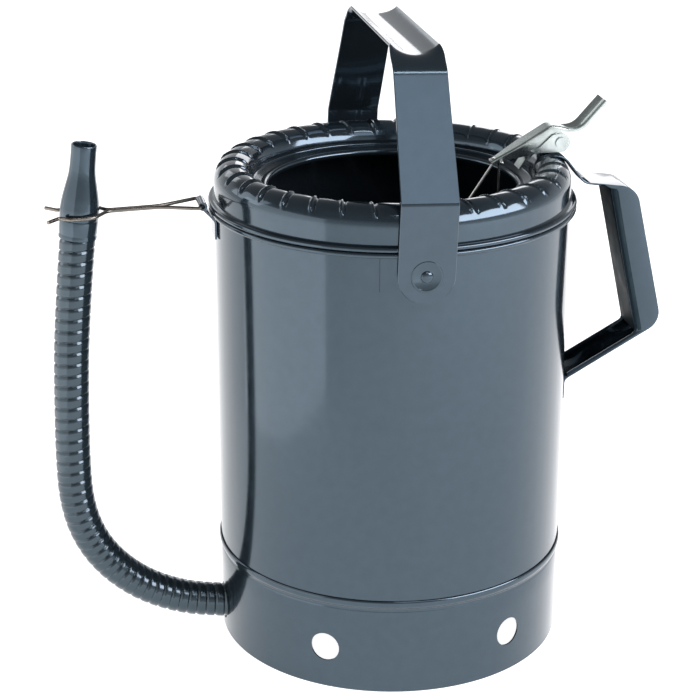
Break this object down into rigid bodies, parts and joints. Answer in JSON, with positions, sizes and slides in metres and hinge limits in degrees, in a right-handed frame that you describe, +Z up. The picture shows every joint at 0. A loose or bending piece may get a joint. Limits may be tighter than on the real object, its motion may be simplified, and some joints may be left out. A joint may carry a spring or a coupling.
{
  "type": "motor oil can",
  "caption": "Open-topped cylindrical oil can with a swinging bail, a rear handle, a thumb-lever bottom valve and a flexible side spout held up by a wire clip.",
  "frame": {"origin": "centre of the base ring's lower edge, on the can's axis", "axes": "+Z up along the can's axis, +X towards the fixed handle and thumb lever, -X towards the spout, Y along the bail's hinge axis"},
  "size_m": [0.3799, 0.2324, 0.3874],
  "materials": {
    "blue_enamel": "high gloss blue-grey enamel",
    "hose_metal": "glossy blue-grey over ribbed interlocked steel",
    "zinc_plate": "pale satin zinc plate",
    "steel_wire": "drawn steel wire, dull",
    "valve_brass": "machined",
    "gasket_rubber": "matte"
  },
  "bodies": {
    "can": {"body_shell": "blue_enamel", "rim_ring": "blue_enamel", "base_ring": "blue_enamel", "bottom_plate": "blue_enamel", "valve_seat": "valve_brass", "outlet_elbow": "blue_enamel", "bail_ear_near": "blue_enamel", "bail_ear_far": "blue_enamel", "bail_rivets": "blue_enamel", "handle": "blue_enamel", "grip_liner": "blue_enamel", "lever_bracket": "zinc_plate", "lever_pin": "zinc_plate", "return_spring": "steel_wire", "spring_eye": "steel_wire", "clip_bracket": "zinc_plate", "hose_lower": "hose_metal", "hose_bend": "hose_metal"},
    "bail": {"bail_strap": "blue_enamel"},
    "lever": {"thumb_lever": "zinc_plate"},
    "wire": {"pull_wire": "steel_wire"},
    "valve": {"valve_stem": "valve_brass", "valve_gasket": "gasket_rubber"},
    "clip": {"clip_wire": "steel_wire"},
    "spout": {"hose_upper": "hose_metal", "hose_ferrule": "blue_enamel", "nozzle": "blue_enamel"}
  },
  "joints": [
    {"name": "bail_swing", "type": "hinge", "parent": "can", "child": "bail", "pos_m": [-0.004, 0, 0.2668], "axis": [0, 1, 0], "range_deg": [-73, 50]},
    {"name": "lever_press", "type": "hinge", "parent": "can", "child": "lever", "pos_m": [0.1029, 0, 0.3114], "axis": [0, 1, 0], "range_deg": [0, 18], "stiffness_Nm_per_rad": 0.5, "springref_deg": -14.32, "deforming": ["return_spring"]},
    {"name": "wire_swing", "type": "hinge", "parent": "lever", "child": "wire", "pos_m": [0.0628, 0, 0.2984], "axis": [0, 1, 0], "range_deg": [-19, 0.5]},
    {"name": "valve_lift", "type": "slide", "parent": "can", "child": "valve", "axis": [0, 0, 1], "range_m": [0, 0.012]},
    {"name": "clip_swing", "type": "hinge", "parent": "can", "child": "clip", "pos_m": [-0.1162, 0, 0.2827], "axis": [0, 1, 0], "range_deg": [0, 100]},
    {"name": "spout_bend", "type": "hinge", "parent": "can", "child": "spout", "pos_m": [-0.172, 0, 0.05], "axis": [0, 1, 0], "range_deg": [-75, 0], "deforming": ["hose_bend", "clip_wire"]}
  ],
  "couplings": [
    {"joint": "wire_swing", "follows": "lever_press", "ratio": -1.035},
    {"joint": "valve_lift", "follows": "lever_press", "m_per_rad": 0.0367}
  ]
}
